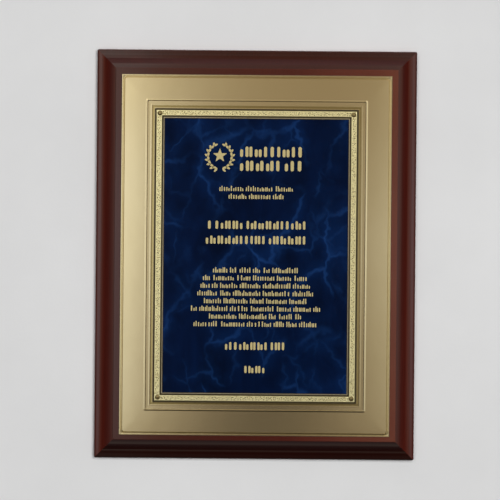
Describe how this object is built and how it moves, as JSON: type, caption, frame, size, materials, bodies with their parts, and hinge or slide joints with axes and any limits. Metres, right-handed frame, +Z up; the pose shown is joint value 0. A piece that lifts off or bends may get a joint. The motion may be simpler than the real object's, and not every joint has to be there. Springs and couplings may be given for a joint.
{
  "type": "wall plaque",
  "caption": "Upright lacquered wooden award plaque with a moulded edge, an embossed gold frame sheet and a pinned blue engraved plate; hangs on a keyhole hanger.",
  "frame": {"origin": "middle of the back face, which lies against the wall", "axes": "+Z up along the long side, +Y out of the back into the wall, so the front faces -Y, and +X to the reader's right"},
  "size_m": [0.2794, 0.0224, 0.357],
  "materials": {
    "board_lacquer": "high gloss dark cherry lacquer over fine grained wood",
    "gold_sheet": "satin gold anodised embossed sheet",
    "plate_enamel": "gloss blue marble lacquer on brass with a bright florentine border",
    "mounting_tape": "white foam and adhesive tape",
    "pin_brass": "polished domed heads",
    "hanger_steel": "zinc plated pressed steel",
    "screw_steel": "zinc plated countersunk screws"
  },
  "bodies": {
    "root": {"plaque_board": "board_lacquer", "frame_sheet": "gold_sheet", "engraved_plate": "plate_enamel", "frame_tape_top": "mounting_tape", "frame_tape_bottom": "mounting_tape", "frame_tape_left": "mounting_tape", "frame_tape_right": "mounting_tape", "plate_tape_top": "mounting_tape", "plate_tape_bottom": "mounting_tape", "plate_tape_left": "mounting_tape", "plate_tape_right": "mounting_tape", "corner_pin_top_left": "pin_brass", "corner_pin_top_right": "pin_brass", "corner_pin_bottom_left": "pin_brass", "corner_pin_bottom_right": "pin_brass", "keyhole_hanger_top": "hanger_steel", "keyhole_hanger_side": "hanger_steel", "hanger_screw_top_lower": "screw_steel", "hanger_screw_top_upper": "screw_steel", "hanger_screw_side_lower": "screw_steel", "hanger_screw_side_upper": "screw_steel"}
  },
  "joints": []
}
